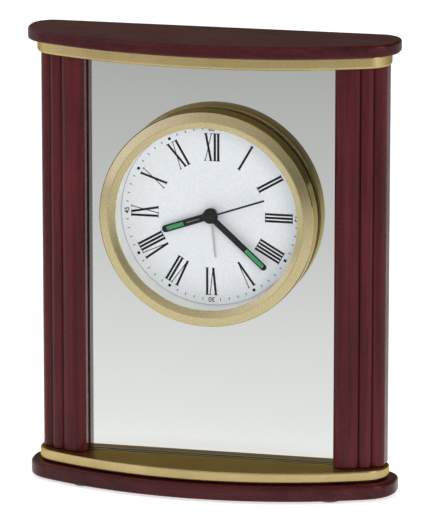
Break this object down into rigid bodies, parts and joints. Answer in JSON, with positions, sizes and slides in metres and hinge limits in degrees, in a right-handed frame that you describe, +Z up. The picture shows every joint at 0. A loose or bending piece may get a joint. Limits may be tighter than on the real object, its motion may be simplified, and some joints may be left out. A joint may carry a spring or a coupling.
{
  "type": "mantel clock",
  "caption": "Bow-fronted wooden mantel clock: round alarm insert in a glass panel between reeded columns, with brass plates.",
  "frame": {"origin": "centre of the clock's footprint box, on the table surface under the felt pads", "axes": "+Z up, -Y towards the viewer of the dial, +X to that viewer's right"},
  "size_m": [0.155, 0.0462, 0.1907],
  "materials": {
    "rosewood": "lacquered rosewood stain, semi-gloss",
    "satin_brass": "satin brushed",
    "drum_brass": "darker satin",
    "panel_glass": "polished, faint grey tint",
    "crystal_glass": "clear",
    "felt": "dark felt",
    "steel": "plain steel",
    "dowel_beech": "bare beech",
    "black_rubber": "matt",
    "cream_plastic": "cream",
    "dial_white": "matt white",
    "black_hand": "black, satin",
    "silver_hand": "pale silver",
    "lume_green": "green luminous paint",
    "black_plastic": "fine textured black",
    "white_plastic": "moulded white",
    "grey_plastic": "moulded grey",
    "red_plastic": "red",
    "copper": "enamelled copper wire",
    "board_green": "green solder mask",
    "battery_wrap": "printed wrap, plain",
    "magnet": "sintered magnet"
  },
  "bodies": {
    "case": {"back_cover": "black_plastic", "base": "rosewood", "base_dowel_left": "dowel_beech", "base_dowel_right": "dowel_beech", "base_screw_left": "steel", "base_screw_right": "steel", "battery": "battery_wrap", "battery_tray": "grey_plastic", "bezel": "satin_brass", "buzzer": "black_plastic", "cap_dowel_left": "dowel_beech", "cap_dowel_right": "dowel_beech", "cap_stud_left": "steel", "cap_stud_right": "steel", "circuit_board": "board_green", "coil_bobbin": "white_plastic", "coil_core": "steel", "coil_winding": "copper", "column_left": "rosewood", "column_right": "rosewood", "contact_negative": "steel", "contact_positive": "steel", "crystal": "crystal_glass", "dial": "dial_white", "dial_ring": "cream_plastic", "drum": "drum_brass", "foot_pad_1": "felt", "foot_pad_2": "felt", "foot_pad_3": "felt", "foot_pad_4": "felt", "front_gasket": "black_rubber", "glass_panel": "panel_glass", "lower_brass_plate": "satin_brass", "movement_front_plate": "white_plastic", "movement_rear_plate": "white_plastic", "rear_gasket": "black_rubber", "stator": "steel", "top_cap": "rosewood", "upper_brass_plate": "satin_brass"},
    "minute": {"minute_hand": "black_hand", "minute_lume": "lume_green", "minute_arbor": "steel"},
    "hour": {"hour_hand": "black_hand", "hour_lume": "lume_green", "hour_wheel": "white_plastic"},
    "motion_work": {"motion_wheel": "white_plastic", "time_knob": "black_plastic"},
    "seconds": {"second_hand": "black_hand", "second_arbor": "steel"},
    "third": {"third_wheel": "white_plastic"},
    "centre": {"centre_wheel": "white_plastic"},
    "step": {"step_wheel": "white_plastic"},
    "motor_rotor": {"rotor": "magnet"},
    "alarm_setting": {"alarm_stem": "white_plastic", "alarm_knob": "black_plastic"},
    "alarm_disc": {"alarm_hand": "silver_hand", "alarm_wheel": "white_plastic"},
    "switch": {"alarm_switch": "red_plastic"},
    "door": {"battery_door": "black_plastic"}
  },
  "joints": [
    {"name": "minute_turn", "type": "hinge", "parent": "case", "child": "minute", "pos_m": [0, 0.01335, 0.1151], "axis": [0, 1, 0], "continuous": true},
    {"name": "hour_turn", "type": "hinge", "parent": "case", "child": "hour", "pos_m": [0, 0.01335, 0.1151], "axis": [0, 1, 0], "continuous": true},
    {"name": "motion_turn", "type": "hinge", "parent": "case", "child": "motion_work", "pos_m": [-0.00866, 0.01335, 0.1201], "axis": [0, 1, 0], "continuous": true},
    {"name": "second_turn", "type": "hinge", "parent": "case", "child": "seconds", "pos_m": [0, 0.01335, 0.1151], "axis": [0, 1, 0], "continuous": true},
    {"name": "third_turn", "type": "hinge", "parent": "case", "child": "third", "pos_m": [-0.00729, 0.01335, 0.10898], "axis": [0, 1, 0], "continuous": true},
    {"name": "centre_turn", "type": "hinge", "parent": "case", "child": "centre", "pos_m": [0, 0.01335, 0.1151], "axis": [0, 1, 0], "continuous": true},
    {"name": "step_turn", "type": "hinge", "parent": "case", "child": "step", "pos_m": [0, 0.01335, 0.1249], "axis": [0, 1, 0], "continuous": true},
    {"name": "rotor_turn", "type": "hinge", "parent": "case", "child": "motor_rotor", "pos_m": [0, 0.01335, 0.1321], "axis": [0, 1, 0], "continuous": true},
    {"name": "alarm_knob_turn", "type": "hinge", "parent": "case", "child": "alarm_setting", "pos_m": [0.01039, 0.01335, 0.1211], "axis": [0, 1, 0], "continuous": true},
    {"name": "alarm_hand_turn", "type": "hinge", "parent": "case", "child": "alarm_disc", "pos_m": [0, 0.01335, 0.1151], "axis": [0, 1, 0], "continuous": true},
    {"name": "alarm_switch_slide", "type": "slide", "parent": "case", "child": "switch", "axis": [1, 0, 0], "range_m": [0, 0.004]},
    {"name": "battery_door_slide", "type": "slide", "parent": "case", "child": "door", "axis": [0, 0, -1], "range_m": [0, 0.014]}
  ],
  "couplings": [
    {"joint": "hour_turn", "follows": "minute_turn", "ratio": 0.083333},
    {"joint": "motion_turn", "follows": "minute_turn", "ratio": -0.33333},
    {"joint": "third_turn", "follows": "second_turn", "ratio": -0.125},
    {"joint": "centre_turn", "follows": "second_turn", "ratio": 0.016667},
    {"joint": "step_turn", "follows": "second_turn", "ratio": -6},
    {"joint": "rotor_turn", "follows": "second_turn", "ratio": 30},
    {"joint": "alarm_hand_turn", "follows": "alarm_knob_turn", "ratio": -0.33333}
  ]
}
